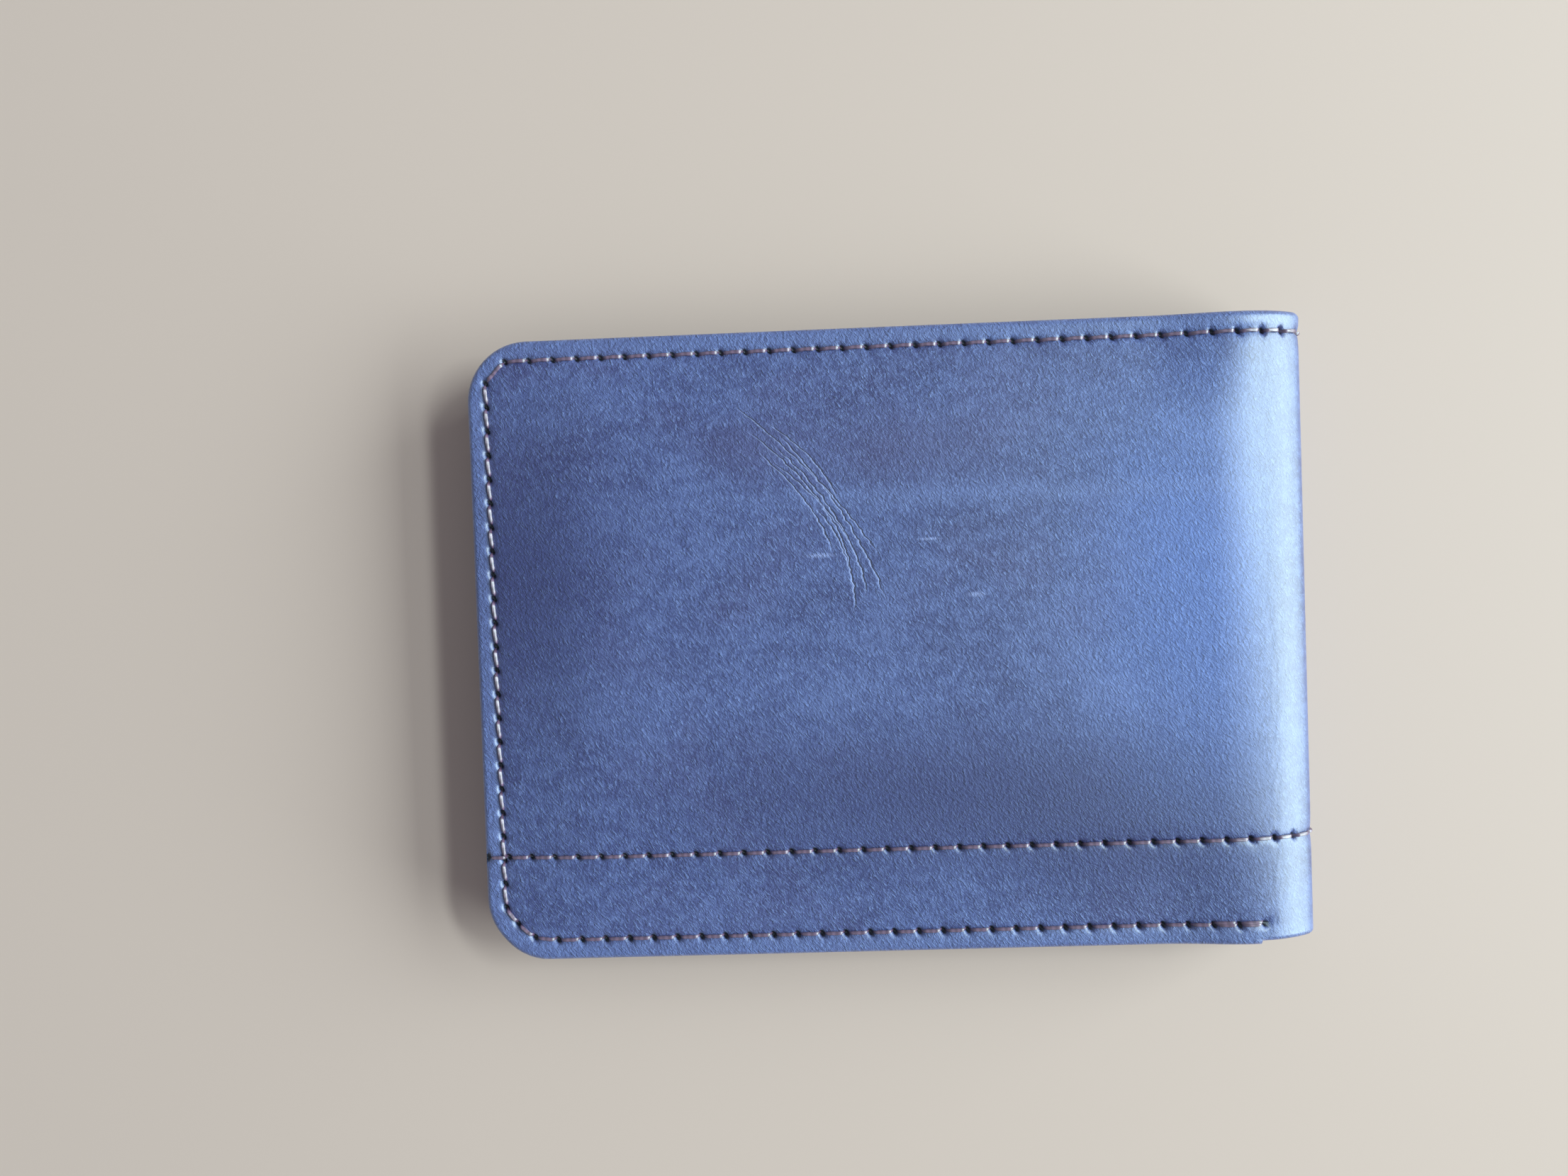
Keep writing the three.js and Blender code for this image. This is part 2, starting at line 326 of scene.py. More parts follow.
def divider_holes():
    across = stations((0, DIVIDER_SEAM), (SEAM_FREE - 0.7, DIVIDER_SEAM))
    return np.concatenate([across, [(FLAT - 0.4, DIVIDER_SEAM)]])


def flat_path(holes):
    """The same holes with the distance counted from the spine's outermost line."""
    return holes + [QUARTER, 0]


PERIMETER = flat_path(perimeter_holes())
DIVIDER = flat_path(divider_holes())
SPINE_STATIONS = np.arange(-(LEAVES + 1) // 2, (LEAVES + 1) // 2 + 1) * TURN * PITCH_RADIUS


def path_distance(points, path):
    best = np.full(len(points), np.inf)
    for start, end in zip(path[:-1], path[1:]):
        way = end - start
        share = np.clip((points - start) @ way / (way @ way), 0, 1)
        best = np.minimum(best, np.linalg.norm(points - start - share[:, None] * way, axis=1))
    return best


PIT_LONG, PIT_ACROSS = 0.54, 0.31
PIT_SLANT = np.array([0.55, 0.835])


def hole_nearness(points, holes):
    """1 at a needle hole, falling to 0 around it. The needle leaves slanting ovals."""
    total = np.zeros(len(points))
    for hole in holes:
        away = points - hole
        near = (np.abs(away) < 4 * PIT_LONG).all(axis=1)
        long = away[near] @ PIT_SLANT / PIT_LONG
        across = away[near] @ [PIT_SLANT[1], -PIT_SLANT[0]] / PIT_ACROSS
        total[near] += np.exp(-(long**2) - across**2)
    return np.minimum(total, 1)


# ------------------------------------------------------------------ sheets of leather and cloth
RIM_STEPS = 5
# Rows of points beside a sewing line: how far from it, and how far apart along it.
SEAM_ROWS = ((0.0, 0.2), (0.14, 0.2), (0.28, 0.22), (0.45, 0.3), (0.7, 0.5), (1.1, 0.8))
SEAM_CLEAR = 1.5
STEP_WIDTH = 0.1


def rim_rows(extent):
    """Insets of the rows that round an edge, and the share of the thickness at each."""
    turn = np.linspace(0, math.pi / 2, RIM_STEPS + 1)
    return extent * (1 - np.cos(turn)), np.sin(turn)


def run(start, end, normal, spacing):
    count = max(1, math.ceil(np.linalg.norm(np.subtract(end, start)) / spacing))
    share = np.linspace(0, 1, count + 1)[:-1, None]
    points = np.array(start) + np.subtract(end, start) * share
    return points, np.repeat([normal], count, axis=0)


def arc(centre, radius, start, spacing):
    count = max(5, math.ceil(radius * math.pi / 2 / spacing))
    angle = math.radians(start) + np.linspace(0, math.pi / 2, count + 1)[:-1]
    way = np.stack([np.cos(angle), np.sin(angle)], axis=1)
    return np.array(centre) + radius * way, -way


def outline(near, far, low, high, radii, spacing, cut, step=None):
    """An outline, anticlockwise, with its inward normals. near is the side next to the spine.

    radii are those of the low free corner, the high free corner and the two at the spine.
    With cut, the spine's side is left open: the outline starts and ends on it. A step is a
    place on the low side that gets points close together.
    """
    low_r, high_r, near_r = radii
    start = near if cut else near + near_r
    stops = [start, far - low_r]
    if step is not None:
        stops[1:1] = [step - STEP_WIDTH / 2, step + STEP_WIDTH / 2]
    low_side = [run((a, low), (b, low), (0, 1), spacing) for a, b in zip(stops, stops[1:])]
    parts = [
        *low_side,
        arc((far - low_r, low + low_r), low_r, -90, spacing),
        run((far, low + low_r), (far, high - high_r), (-1, 0), spacing),
        arc((far - high_r, high - high_r), high_r, 0, spacing),
        run((far - high_r, high), (start, high), (0, -1), spacing),
    ]
    if cut:
        parts.append((np.array([[near, high]]), np.array([[0, -1]])))
    else:
        parts.append(arc((near + near_r, high - near_r), near_r, 90, spacing))
        parts.append(run((near, high - near_r), (near, low + near_r), (1, 0), spacing))
        parts.append(arc((near + near_r, low + near_r), near_r, 180, spacing))
    points, normals = (np.concatenate(group) for group in zip(*parts))
    return points, normals.astype(float)


def inset_in(points, near, far, low, high, radii, cut):
    """Distance from the outline, inwards."""
    a, y = points[:, 0], points[:, 1]
    best = np.minimum(far - a, np.minimum(y - low, high - y))
    corners = [(far - radii[0], low + radii[0], radii[0], 1, -1)]
    corners.append((far - radii[1], high - radii[1], radii[1], 1, 1))
    if not cut:
        best = np.minimum(best, a - near)
        corners.append((near + radii[2], high - radii[2], radii[2], -1, 1))
        corners.append((near + radii[2], low + radii[2], radii[2], -1, -1))
    for x, z, radius, side, up in corners:
        out, along = (a - x) * side, (y - z) * up
        beyond = (out > 0) & (along > 0)
        best = np.where(beyond, radius - np.hypot(out, along), best)
    return best


def hexagonal(near, far, low, high, pitch):
    rows = np.arange(low + pitch, high, pitch * math.sqrt(3) / 2)
    points = []
    for index, y in enumerate(rows):
        a = np.arange(near + pitch * (0.5 + 0.5 * (index % 2)), far, pitch)
        points.append(np.stack([a, np.full(len(a), y)], axis=1))
    return np.concatenate(points)


def beside(path):
    """Rows of points along a sewing line, closer together near it."""
    points = []
    for start, end in zip(path[:-1], path[1:]):
        way = end - start
        length = np.linalg.norm(way)
        side = np.array([-way[1], way[0]]) / length
        for offset, spacing in SEAM_ROWS:
            share = np.linspace(0, 1, max(2, round(length / spacing) + 1))[:, None]
            for shift in {offset, -offset}:
                points.append(start + way * share + side * shift)
    points = np.concatenate(points)
    first = np.unique(np.round(points / 0.11), axis=0, return_index=True)[1]
    return points[np.sort(first)]


def fill(boundary, inner):
    """Triangles inside a closed boundary, through every inner point."""
    points = [Vector(p) for p in np.concatenate([boundary, inner])]
    made = delaunay_2d_cdt(points, [], [list(range(len(boundary)))], 1, 1e-6)
    source = [ids[0] for ids in made[3]]
    return [tuple(source[v] for v in face) for face in made[2]]


class Mesh:
    """Vertices and faces of one sheet. share is 0 on the rim's middle and 1 past the rim."""

    def __init__(self):
        self.points, self.share, self.inner = [], [], []
        self.faces, self.caps = [], []
        self.count = 0

    def add(self, points, share, inner):
        first = self.count
        self.points.append(points)
        self.share.append(np.full(len(points), share, float))
        self.inner.append(np.full(len(points), inner, bool))
        self.count += len(points)
        return first + np.arange(len(points))

    def arrays(self):
        return [np.concatenate(part) for part in (self.points, self.share, self.inner)]

    def strip(self, one, two, closed=False):
        pairs = list(zip(range(len(one) - 1), range(1, len(one))))
        if closed:
            pairs.append((len(one) - 1, 0))
        return [(one[i], one[j], two[j], two[i]) for i, j in pairs]


def build_sheet(points, normals, extent, cut_at, cut_rows, outer_points, inner_points):
    """Closed sheet: rounded rim rows round the outline and filled faces inside.

    outer_points and inner_points lie inside the rim on the sheet's two faces. A sheet that is
    cut at the spine has vertices at cut_rows along its straight end.
    """
    mesh = Mesh()
    closed = cut_at is None
    insets, shares = rim_rows(extent)
    edge = mesh.add(points, 0.0, False)
    ends = {}
    for inner, extra in ((False, outer_points), (True, inner_points)):
        rows = [edge]
        for inset, share in zip(insets[1:], shares[1:]):
            rows.append(mesh.add(points + normals * inset, share, inner))
        for one, two in zip(rows[:-1], rows[1:]):
            mesh.faces += mesh.strip(one, two, closed)
        boundary = rows[-1]
        if not closed:
            line = np.stack([np.full(len(cut_rows), cut_at), cut_rows], axis=1)
            cut = mesh.add(line, 1.0, inner)
            boundary = np.concatenate([boundary, cut[::-1]])
            ends[inner] = [r[0] for r in rows] + list(cut) + [r[-1] for r in rows[::-1]]
        filled = mesh.add(extra, 1.0, inner)
        everything = np.concatenate(mesh.points)
        ring = everything[boundary]
        index = np.concatenate([boundary, filled])
        mesh.faces += [tuple(index[v] for v in face) for face in fill(ring, extra)]
    if not closed:
        mesh.caps = cap_faces(ends[False], ends[True])
    return mesh


def cap_faces(outer, inner):
    """Faces that close a cut end, between its outer and its inner row of vertices."""
    faces = []
    for corners in zip(outer[:-1], outer[1:], inner[1:], inner[:-1]):
        faces.append(tuple(dict.fromkeys(corners)))
    return [face for face in faces if len(face) > 2]


def write_mesh(name, co, faces, caps, material, attributes):
    """Makes the object, with its faces pointing out and a crease round each cut end."""
    data = bpy.data.meshes.new(name)
    data.from_pydata((co * MM).tolist(), [], [tuple(int(v) for v in f) for f in faces + caps])
    for key, values in attributes.items():
        kind = "FLOAT_VECTOR" if values.ndim == 2 else "FLOAT"
        attribute = data.attributes.new(key, kind, "POINT")
        target = "vector" if values.ndim == 2 else "value"
        attribute.data.foreach_set(target, values.astype(np.float32).ravel())
    work = bmesh.new()
    work.from_mesh(data)
    work.faces.ensure_lookup_table()
    bmesh.ops.recalc_face_normals(work, faces=work.faces)
    ends = set(work.faces[len(faces) :]) if caps else set()
    for face in work.faces:
        face.smooth = True
    for face in ends:
        for edge in face.edges:
            edge.smooth = all(other in ends for other in edge.link_faces)
    work.to_mesh(data)
    work.free()
    data.materials.append(material)
    piece = bpy.data.objects.new(name, data)
    bpy.context.scene.collection.objects.link(piece)
    return piece


# ------------------------------------------------------------------ layers that cross the spine
CROSSING_SPACING = 1.0
# Added to the depth in the attribute "flat", so that each face gets grain of its own.
INNER_FACE_SHIFT = 40
PANEL_FACE_SHIFTS = (90, 60)
CUT_TURN = math.pi / 2 - TURN
BEND_MARGIN = 1.3


class Layer:
    """A layer that runs round the spine, with its sizes from the frame."""

    def __init__(self, name, slot, extent, radii):
        low, high = node_span(f"{name}_lower")
        self.name, self.slot, self.extent, self.radii = name, slot, extent, radii
        self.depth, self.thick = low[2], high[2] - low[2]
        self.low, self.high = low[1], high[1]
        self.far = QUARTER + SPINE_X - low[0]
        self.steps = abs(self.low - SHELL_LOW) < 0.01
        self.sewn = name == "shell"

    def inset(self, points):
        return inset_in(points, 0, self.far, self.low, self.high, self.radii, True)

    def shell_thickness(self, inset):
        """The shell is thicker where its edge is turned in."""
        return self.thick + FLAP * (1 - smooth((inset - 6.4) / 0.5))

    def faces_at(self, points, s):
        """Outer and inner depth of the layer's full-thickness part."""
        inset = self.inset(points)
        base, thick = np.full(len(points), self.depth), np.full(len(points), self.thick)
        if self.name == "shell":
            thick = self.shell_thickness(inset)
        if self.name == "lining":
            base = base + FLAP * (1 - smooth((inset - 5.4) / 0.5))
        if self.name == "backing":
            base = base + flat_when_open(s, self.depth + self.thick / 2)
        return base, thick


def flat_when_open(s, depth):
    """How much shallower a layer lies between two leaves' middles, to open out flat."""
    radius = RADIUS - depth
    way = (np.abs(s) / PITCH_RADIUS % TURN) / TURN
    blend = way * way * (3 - 2 * way)
    angle, swing = way * TURN, blend * TURN
    pivot = PITCH_RADIUS * math.tan(TURN / 2)
    rise = pivot * np.sin(swing) + PITCH_RADIUS * np.cos(swing) - (PITCH_RADIUS - radius)
    lifted = rise / np.cos(angle - swing)
    return np.where(np.abs(s) < QUARTER, radius - lifted, 0.0)


STEP_AT = QUARTER + PANEL_SPINE_OVER + 0.1


def bottom_step(a, y):
    """The shell's bottom edge is fuller where the panels are sewn in behind it."""
    fuller = (SHELL_LOW - PANEL_LOW) * smooth((a - STEP_AT) / STEP_WIDTH + 0.5)
    return y - fuller * np.clip((SHELL_LOW + 3 - y) / 3, 0, 1)


# Depth and width of the sewn valley's two parts, and the sizes of the other reliefs.
VALLEYS = ((0.14, 0.5), (0.1, 1.6))
HOLE_DEPTH, HOLE_RIM = 0.75, 0.1
PUFF_HEIGHT, PUFF_WIDTH = 0.12, 2.6
WRINKLE_HEIGHT, WRINKLE_REACH = 0.012, 4.0


def shell_relief(points, s):
    """Depth of the sewn valley, needle holes, padded margin and fine wrinkles."""
    flat = np.abs(s) >= QUARTER
    line = np.minimum(path_distance(points, PERIMETER), path_distance(points, DIVIDER))
    spine_line = np.minimum(np.abs(points[:, 1] - SEAM_TOP), np.abs(points[:, 1] - DIVIDER_SEAM))
    line = np.where(flat, line, spine_line)
    holes = shell_holes(points, s)
    margin = inset_in(points, 0, QUARTER + FLAT, SHELL_LOW, SHELL_HIGH, SHELL_RADII, True)
    puff = np.sin(np.clip(margin / PUFF_WIDTH, 0, 1) * math.pi) ** 1.5
    wrinkle = np.sin(s * 4.1 + 2 * np.sin(points[:, 1] * 0.35)) * np.sin(points[:, 1] * 0.8 + s)
    wrinkle = wrinkle * np.exp(-(((np.abs(s) - QUARTER - 1) / WRINKLE_REACH) ** 2))
    valley = sum(depth * np.exp(-((line / width) ** 2)) for depth, width in VALLEYS)
    pits = HOLE_DEPTH * holes + HOLE_RIM * np.sqrt(holes)
    return valley + pits - PUFF_HEIGHT * puff + WRINKLE_HEIGHT * wrinkle, holes


SHELL_RADII = (CORNER_RADIUS, CORNER_RADIUS, 0)


def shell_holes(points, s):
    signed = np.stack([s, points[:, 1]], axis=1)
    spine = [(at, y) for at in SPINE_STATIONS for y in (SEAM_TOP, DIVIDER_SEAM)]
    holes = np.concatenate([PERIMETER, DIVIDER, PERIMETER * [-1, 1], DIVIDER * [-1, 1], spine])
    return hole_nearness(signed, np.unique(np.round(holes, 4), axis=0))


def shape_layer(name, mesh, sign, layer, material):
    """Gives each vertex its depth and place, and writes the piece."""
    points, share, inner = mesh.arrays()
    s = points[:, 0] * sign
    near = np.stack([np.abs(points[:, 0]), points[:, 1]], axis=1)
    base, thick = layer.faces_at(near, s)
    relief, holes = np.zeros(len(near)), np.zeros(len(near))
    if layer.sewn:
        relief, holes = shell_relief(near, s)
    offset = thick / 2 * (1 - share)
    depth = np.where(inner, base + thick - offset, base + offset + relief * share)
    y = bottom_step(near[:, 0], near[:, 1]) if layer.steps else near[:, 1]
    co = place(s, y, depth)
    side = np.where(inner, depth + INNER_FACE_SHIFT, depth)
    attributes = {
        "flat": np.stack([s, y, side], axis=1),
        "edge": layer.inset(near),
        "hole": np.where(inner, 0, holes),
    }
    return write_mesh(name, co, mesh.faces, mesh.caps, material, attributes)


def cut_lines(layer):
    """Rows along y where a layer is cut, between its two rounded edges."""
    inside = [layer.low + layer.extent, layer.high - layer.extent]
    fine = [np.arange(inside[0], inside[1], CROSSING_SPACING)[1:]]
    if layer.sewn:
        for line in (SEAM_TOP, DIVIDER_SEAM):
            near = fine[0][np.abs(fine[0] - line) > 1.2]
            fine = [near] + fine[1:]
            fine.append(line + np.array([-1.1, -0.7, -0.45, -0.28, -0.14, 0]))
            fine.append(line + np.array([0.14, 0.28, 0.45, 0.7, 1.1]))
    rows = np.sort(np.concatenate(fine))
    return rows[(rows > inside[0] + 0.1) & (rows < inside[1] - 0.1)]


def half_piece(layer, sign, material, name):
    """From the free edge of one half round to the first leaf past the flat."""
    near = CUT_TURN * PITCH_RADIUS
    step = STEP_AT if layer.steps else None
    points, normals = outline(
        near, layer.far, layer.low, layer.high, layer.radii, CROSSING_SPACING, True, step
    )
    rows = cut_lines(layer)
    coarse = 1.0 if layer.sewn else 1.6
    box = (near, layer.far, layer.low, layer.high)
    outer, inner = hexagonal(*box, coarse), hexagonal(*box, 1.8)
    arc_rows = bend_points(near, rows)
    flat_from = QUARTER + BEND_MARGIN
    outer, inner = (points_in[points_in[:, 0] > flat_from] for points_in in (outer, inner))
    if layer.sewn:
        apart = np.minimum(path_distance(outer, PERIMETER), path_distance(outer, DIVIDER))
        outer = outer[apart > SEAM_CLEAR]
        fine = np.concatenate([beside(PERIMETER), beside(DIVIDER)])
        outer = np.concatenate([outer, fine[fine[:, 0] > flat_from]])
    outer, inner = (np.concatenate([points_in, arc_rows]) for points_in in (outer, inner))
    limit = layer.extent + 0.25
    outer, inner = (points_in[layer.inset(points_in) > limit] for points_in in (outer, inner))
    mesh = build_sheet(points, normals, layer.extent, near, rows, outer, inner)
    return shape_layer(name, mesh, sign, layer, material)


def bend_points(near, rows):
    """Rows of points across the curved part, in line with the rows at the cut."""
    steps = np.concatenate([leaf_steps()[1:], QUARTER + np.array([0.4, 0.85]) - near])
    return np.concatenate([np.stack([np.full(len(rows), near + d), rows], axis=1) for d in steps])


def leaf_steps():
    """Distances across one leaf, closer together at its two ends, where the needle went."""
    width = TURN * PITCH_RADIUS
    ends = np.array([0, 0.14, 0.28, 0.45, 0.7, 1.0, 1.35])
    return np.concatenate([ends, width - ends[::-1]])


def leaf_piece(layer, fold, material, name):
    """The stretch that bends about one fold line between two leaves of the spine."""
    s_rows = leaf_turns(fold)[0] * PITCH_RADIUS + leaf_steps()
    insets, shares = rim_rows(layer.extent)
    middle = cut_lines(layer)
    y_rows = np.concatenate([layer.low + insets, middle, layer.high - insets[::-1]])
    share_rows = np.concatenate([shares, np.ones(len(middle)), shares[::-1]])
    mesh = Mesh()
    grids = {}
    count = len(y_rows)
    s, y = (grid.ravel() for grid in np.meshgrid(s_rows, y_rows, indexing="ij"))
    share = np.tile(share_rows, len(s_rows))
    for inner in (False, True):
        at = mesh.add(np.stack([s, y], axis=1), 1.0, inner)
        mesh.share[-1] = share
        grids[inner] = at.reshape(len(s_rows), count)
    grids[True][:, [0, -1]] = grids[False][:, [0, -1]]
    for grid in grids.values():
        for one, two in zip(grid[:-1], grid[1:]):
            mesh.faces += mesh.strip(one, two)
    for row in (0, -1):
        mesh.caps += cap_faces(list(grids[False][row]), list(grids[True][row]))
    drop_unused(mesh)
    return shape_layer(name, mesh, 1, layer, material)


def drop_unused(mesh):
    """Removes vertices that no face uses."""
    used = sorted({v for face in mesh.faces + mesh.caps for v in face})
    index = {v: i for i, v in enumerate(used)}
    mesh.points, mesh.share, mesh.inner = ([part[used]] for part in mesh.arrays())
    mesh.faces = [tuple(index[v] for v in face) for face in mesh.faces]
    mesh.caps = [tuple(index[v] for v in face) for face in mesh.caps]


def leaf_turns(fold):
    """Angles of the middles of the two leaves on either side of a fold line."""
    return (fold - 1) * TURN - math.pi / 2, fold * TURN - math.pi / 2


def blend_over(piece):
    """Bakes the piece's transform into its mesh."""
    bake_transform(piece)


def add_crossing(layer, material):
    """The layer's six pieces, each bending about one fold line."""
    pieces = []
    for fold in range(1, LEAVES + 2):
        if fold == 1:
            piece = half_piece(layer, -1, material, f"{layer.name}_lower_part")
            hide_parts(f"{layer.name}_lower", f"{layer.name}_spine_1")
        elif fold == LEAVES + 1:
            piece = half_piece(layer, 1, material, f"{layer.name}_upper_part")
            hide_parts(f"{layer.name}_upper")
        else:
            piece = leaf_piece(layer, fold, material, f"{layer.name}_fold_{fold}")
            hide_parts(f"{layer.name}_spine_{fold}")
        blend_over(piece)
        pieces.append(piece)
    return pieces


# ------------------------------------------------------------------ pockets and window
class Panel:
    """A flat sheet of one half, with its sizes from the frame."""

    def __init__(self, node, upper, slot, extent, radii):
        low, high = node_span(node)
        self.node, self.slot, self.extent, self.radii = node, slot, extent, radii
        self.sign = 1 if upper else -1
        self.body = "upper_half" if upper else "lower_half"
        self.depth = THICKNESS - high[2] if upper else low[2]
        self.thick = high[2] - low[2]
        near = QUARTER + SPINE_X - high[0]
        far = QUARTER + SPINE_X - low[0]
        self.box = (near, far, low[1], high[1])

    def inset(self, points):
        return inset_in(points, *self.box, self.radii, False)


def add_panel(panel, material, path=None, window=None, spacing=1.2):
    points, normals = outline(*panel.box, panel.radii, spacing, False)
    grid = hexagonal(*panel.box, spacing * 1.3)
    grid = grid[panel.inset(grid) > panel.extent + 0.5]
    inner = grid
    if path is not None:
        fine = beside(path)
        inner = grid[path_distance(grid, path) > SEAM_CLEAR]
        inner = np.concatenate([inner, fine[panel.inset(fine) > panel.extent + 0.3]])
    if window is None:
        mesh = build_sheet(points, normals, panel.extent, None, None, grid, inner)
    else:
        mesh = framed_sheet(panel, points, normals, grid, inner, window, spacing)
    return shape_panel(panel, mesh, material, path)


PANEL_VALLEY, PANEL_HOLE = 0.18, 0.35


def shape_panel(panel, mesh, material, path):
    """Gives each vertex its depth and place, and writes the piece with its riding body."""
    points, share, inner = mesh.arrays()
    s, y = points[:, 0] * panel.sign, points[:, 1]
    relief, holes = np.zeros(len(points)), np.zeros(len(points))
    if path is not None:
        holes = hole_nearness(points, path)
        line = path_distance(points, path)
        relief = PANEL_VALLEY * np.exp(-((line / 0.5) ** 2)) + PANEL_HOLE * holes
    offset = panel.thick / 2 * (1 - share)
    depth = np.where(
        inner, panel.depth + panel.thick - offset - relief * share, panel.depth + offset
    )
    attributes = {
        "flat": np.stack([s, y, depth + np.where(inner, *PANEL_FACE_SHIFTS)], axis=1),
        "edge": panel.inset(points),
        "hole": np.where(inner, holes, 0),
    }
    co = place(s, y, depth)
    piece = write_mesh(f"{panel.node}_part", co, mesh.faces, mesh.caps, material, attributes)
    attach(piece, panel.body)
    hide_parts(panel.node)
    return piece


WINDOW_RADIUS = 3.0


def framed_sheet(panel, points, normals, grid, inner, window, spacing):
    """A sheet with a rounded opening, whose edge is rounded like the outer one."""
    radii = (WINDOW_RADIUS,) * 3
    hole_points, hole_normals = outline(*window, radii, spacing, False)
    insets, shares = rim_rows(panel.extent)
    reach = insets[-1]
    mesh = Mesh()
    rims = ((points, normals), (hole_points, -hole_normals))
    edges = [mesh.add(base, 0.0, False) for base, way in rims]
    for is_inner, extra in ((False, grid), (True, inner)):
        last = []
        for edge, (base, way) in zip(edges, rims):
            rows = [edge]
            for inset, share in zip(insets[1:], shares[1:]):
                rows.append(mesh.add(base + way * inset, share, is_inner))
            for one, two in zip(rows[:-1], rows[1:]):
                mesh.faces += mesh.strip(one, two, True)
            last.append(rows[-1])
        kept = extra[inset_in(extra, *window, radii, False) < -reach - 0.4]
        filled = mesh.add(kept, 1.0, is_inner)
        everything = np.concatenate(mesh.points)
        index = np.concatenate([*last, filled])
        for face in fill_ring(everything[last[0]], everything[last[1]], kept):
            middle = np.mean([everything[index[v]] for v in face], axis=0)[None]
            if inset_in(middle, *window, radii, False)[0] < -reach + 0.02:
                mesh.faces.append(tuple(index[v] for v in face))
    return mesh


def fill_ring(outside, opening, inner):
    points = [Vector(p) for p in np.concatenate([outside, opening, inner])]
    first = len(outside)
    hole = [first + i for i in range(len(opening))]
    edges = list(zip(hole, hole[1:] + hole[:1]))
    made = delaunay_2d_cdt(points, edges, [list(range(first))], 1, 1e-6)
    source = [ids[0] for ids in made[3]]
    return [tuple(source[v] for v in face) for face in made[2]]


# ------------------------------------------------------------------ stitches
THREAD_SIDES = 12
THREAD_RINGS = 25
THREAD_RADIUS = 0.28
PLY_TURN = 2.1
PLY_RELIEF = 0.3


def tube_along(centres, length):
    """Twisted three-ply tubes along centre lines (stitches, rings, 3), in millimetres.

    Also gives the direction round the thread at each vertex, for its silky reflection.
    """
    ahead = np.gradient(centres, axis=1)
    ahead /= np.linalg.norm(ahead, axis=2, keepdims=True)
    side = np.cross(ahead, [0.0, 0.35, 0.94])
    side /= np.linalg.norm(side, axis=2, keepdims=True)
    up = np.cross(side, ahead)
    angle = np.linspace(0, 2 * math.pi, THREAD_SIDES, endpoint=False)
    share = np.linspace(0, 1, centres.shape[1])
    share = 0.6 * share + 0.4 * (0.5 - 0.5 * np.cos(share * math.pi))
    twist = share[None, :, None] * length[:, None, None] / PLY_TURN * 2 * math.pi
    lobes = 1 - PLY_RELIEF * np.abs(np.sin(1.5 * angle[None, None, :] + twist / 2)) ** 3
    radius = (THREAD_RADIUS * lobes)[..., None]
    cos, sin = np.cos(angle)[:, None], np.sin(angle)[:, None]
    around = cos * side[:, :, None] + sin * up[:, :, None]
    tangent = cos * up[:, :, None] - sin * side[:, :, None]
    return centres[:, :, None] + around * radius, tangent


def tube_faces(stitches):
    """Faces of that many separate tubes, with closed ends."""
    faces = []
    size = THREAD_RINGS * THREAD_SIDES
    for first in range(0, stitches * size, size):
        for ring in range(THREAD_RINGS - 1):
            low = first + ring * THREAD_SIDES
            for i in range(THREAD_SIDES):
                j = (i + 1) % THREAD_SIDES
                faces.append((low + i, low + j, low + j + THREAD_SIDES, low + i + THREAD_SIDES))
        faces.append(tuple(first + i for i in reversed(range(THREAD_SIDES))))
        faces.append(tuple(first + size - THREAD_SIDES + i for i in range(THREAD_SIDES)))
    return faces


DIVE = 1.6
DIVE_REACH = 0.88
SLANT = 0.06
FREE_EDGE_SLANT = 0.21


def stitch_points(path, face_depth, inward):
    """Centre lines of stitches between needle holes (s, y), lying in their sewn valley.

    Each stitch leans a little: it leaves one side of a slanting hole and enters the next at
    the other side.
    """
    way = path[1:] - path[:-1]
    length = np.linalg.norm(way, axis=1)
    lean_up = np.array([0, 1]) * SLANT * np.sign(way[:, :1] * path[-1:, :1])
    lean_across = np.array([1, 0]) * FREE_EDGE_SLANT * np.sign(path[1:, :1])
    lean = np.where(np.abs(way[:, :1]) > np.abs(way[:, 1:]), lean_up, lean_across)
    starts, ends = path[:-1] + lean, path[1:] - lean
    share = np.linspace(0, 1, THREAD_RINGS)
    share = 0.6 * share + 0.4 * (0.5 - 0.5 * np.cos(share * math.pi))
    lines = starts[:, None] + (ends - starts)[:, None] * share[None, :, None]
    to_end = np.minimum(share, 1 - share)[None] * length[:, None]
    sink = 0.1 + DIVE * (1 - smooth(to_end / DIVE_REACH)) - 0.05 * np.sin(share * math.pi)[None]
    depth = face_depth(lines[..., 0], lines[..., 1])
    depth = depth - sink if inward else depth + sink
    y = lines[..., 1]
    co = place(lines[..., 0].ravel(), y.ravel(), depth.ravel()).reshape(*lines.shape[:2], 3)
    return co, length


def outer_face(s, y):
    return np.zeros(np.shape(s))


def add_thread(name, groups, material):
    """Stitches along groups of (needle path, face depth, whether it is an inner face)."""
    made = [stitch_points(np.array(path, float), *rest) for path, *rest in groups]
    centres, length = (np.concatenate(part) for part in zip(*made))
    co, around = (values.reshape(-1, 3) for values in tube_along(centres, length))
    along = np.cumsum(length) - length
    ring = np.linspace(0, 1, THREAD_RINGS)
    travel = (along[:, None] + length[:, None] * ring).repeat(THREAD_SIDES)
    attributes = {"travel": travel, "around": around}
    piece = write_mesh(name, co, tube_faces(len(centres)), [], material, attributes)
    return piece


def backtack():
    """The seam's start, sewn twice: the last stitches on the bottom edge, a little apart."""
    last = PERIMETER[-3:] + [0, 0.3]
    last[:, 0] += (0.3, 0.15, -0.1)
    return last


def signed(path, sign):
    return np.array(path) * [sign, 1]


